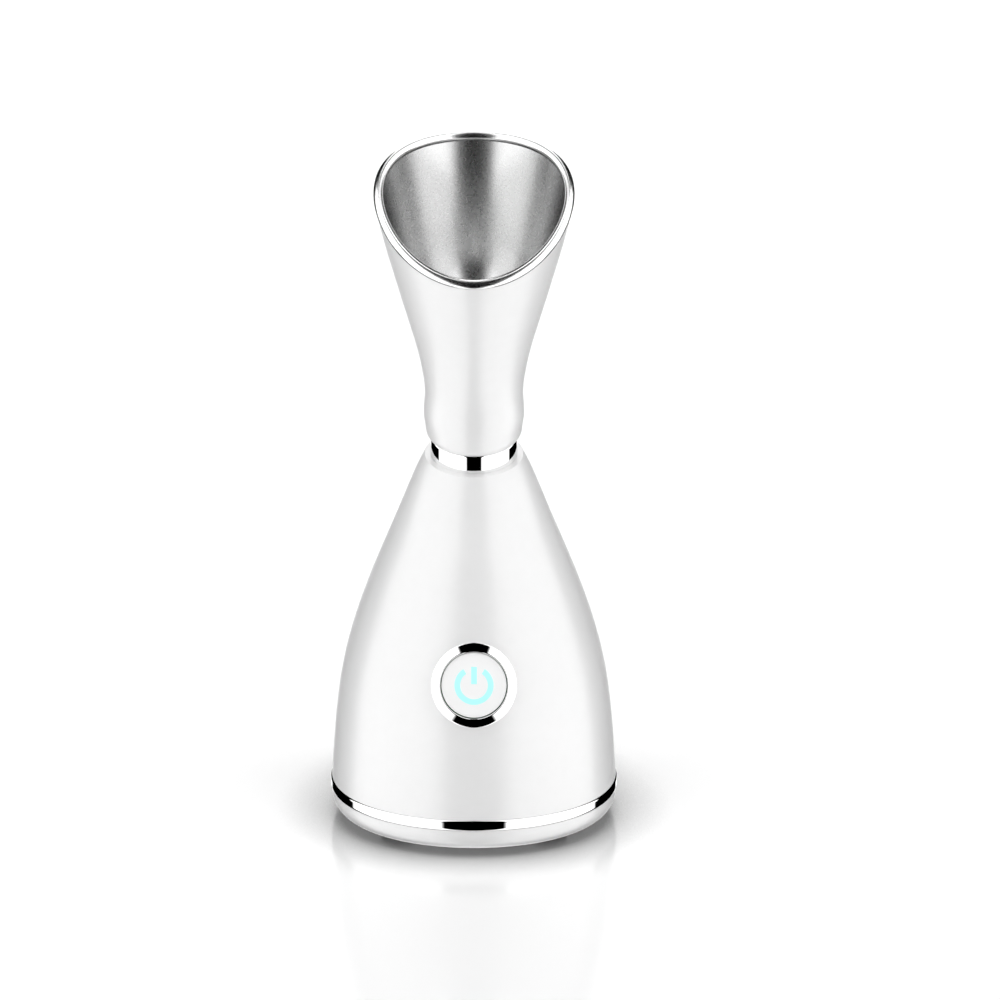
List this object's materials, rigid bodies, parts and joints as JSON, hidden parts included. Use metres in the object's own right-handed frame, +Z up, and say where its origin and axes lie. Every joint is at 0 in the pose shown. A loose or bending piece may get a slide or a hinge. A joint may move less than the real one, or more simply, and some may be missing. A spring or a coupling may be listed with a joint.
{
  "type": "facial steamer",
  "caption": "Table-top facial steamer: bell-shaped body, leaning neck, turning steam head with a slanted mouth, lit push button and a pull-out rear water tank.",
  "frame": {"origin": "centre of the footprint on the surface that the feet stand on", "axes": "+Z up, the front with the button and the steam mouth towards -Y, +X to the right as seen from the front"},
  "size_m": [0.105, 0.1341, 0.252],
  "materials": {
    "white_shell": "satin white moulding",
    "white_button": "gloss",
    "bright_trim": "mirror plated",
    "satin_steel": "satin",
    "zinc_screws": "zinc plated",
    "zinc_frame": "zinc plated sheet",
    "grey_rubber": "matt",
    "seal_rubber": "matt",
    "silicone": "translucent silicone",
    "pale_nylon": "moulded",
    "grey_cap": "moulded",
    "black_plastic": "moulded",
    "circuit_board": "solder mask",
    "led_lens": "clear lens",
    "cast_heater": "cast",
    "brass_parts": "plated",
    "clear_tank": "clear moulding",
    "clear_window": "clear moulding",
    "lead_cover": "insulation",
    "icon_light": "light guide"
  },
  "bodies": {
    "base": {"base_shell": "white_shell", "base_cover": "white_shell", "trim_band": "bright_trim", "rubber_feet": "grey_rubber", "base_screws": "zinc_screws", "neck_ring": "bright_trim", "neck_sleeve": "pale_nylon", "friction_washer": "pale_nylon", "retaining_clip": "satin_steel", "riser_seal": "seal_rubber", "button_bezel": "bright_trim", "button_housing": "pale_nylon", "button_board": "circuit_board", "tact_switch": "black_plastic", "button_leds": "led_lens", "boiler_cup": "satin_steel", "boiler_gasket": "seal_rubber", "boiler_lid": "satin_steel", "lid_screws": "zinc_screws", "boiler_stand": "zinc_frame", "heater_plate": "cast_heater", "thermostat": "black_plastic", "thermal_fuse": "brass_parts", "steam_pipe": "silicone", "feed_tube": "silicone", "tank_dock": "pale_nylon", "power_inlet": "black_plastic", "inlet_pins": "brass_parts", "control_board": "circuit_board", "board_components": "black_plastic", "board_screws": "zinc_screws", "inlet_leads": "lead_cover", "heater_leads": "lead_cover", "button_leads": "lead_cover"},
    "head": {"head_shell": "white_shell", "mouth_liner": "satin_steel", "mouth_rim": "bright_trim", "steam_nozzle": "pale_nylon", "nozzle_grille": "satin_steel", "swivel_collar": "pale_nylon"},
    "button": {"button_cap": "white_button", "power_icon": "icon_light", "switch_plunger": "pale_nylon", "switch_stem": "black_plastic"},
    "tank": {"tank_body": "clear_tank", "spigot_seal": "seal_rubber", "tank_cover": "white_shell", "level_window": "clear_window", "tank_grip": "bright_trim", "valve_cage": "pale_nylon", "valve_spring": "satin_steel"},
    "tank_valve": {"valve_poppet": "pale_nylon"},
    "filler_cap": {"tank_cap": "grey_cap", "cap_seal": "seal_rubber"}
  },
  "joints": [
    {"name": "head_swivel", "type": "hinge", "parent": "base", "child": "head", "pos_m": [0, -0.0182, 0.1434], "axis": [0, -0.2588, 0.9659], "continuous": true},
    {"name": "power_button", "type": "slide", "parent": "base", "child": "button", "axis": [0, 0.9744, -0.225], "range_m": [0, 0.001], "stiffness_N_per_m": 900},
    {"name": "tank_slide", "type": "slide", "parent": "base", "child": "tank", "axis": [0, 1, 0], "range_m": [0, 0.075]},
    {"name": "tank_valve_lift", "type": "slide", "parent": "tank", "child": "tank_valve", "axis": [0, 1, 0], "range_m": [0, 0.0015], "stiffness_N_per_m": 150, "deforming": ["valve_spring"]},
    {"name": "filler_cap_turn", "type": "hinge", "parent": "tank", "child": "filler_cap", "pos_m": [0, 0.0317, 0.08], "axis": [0, 0, 1], "range_deg": [0, 90]}
  ]
}
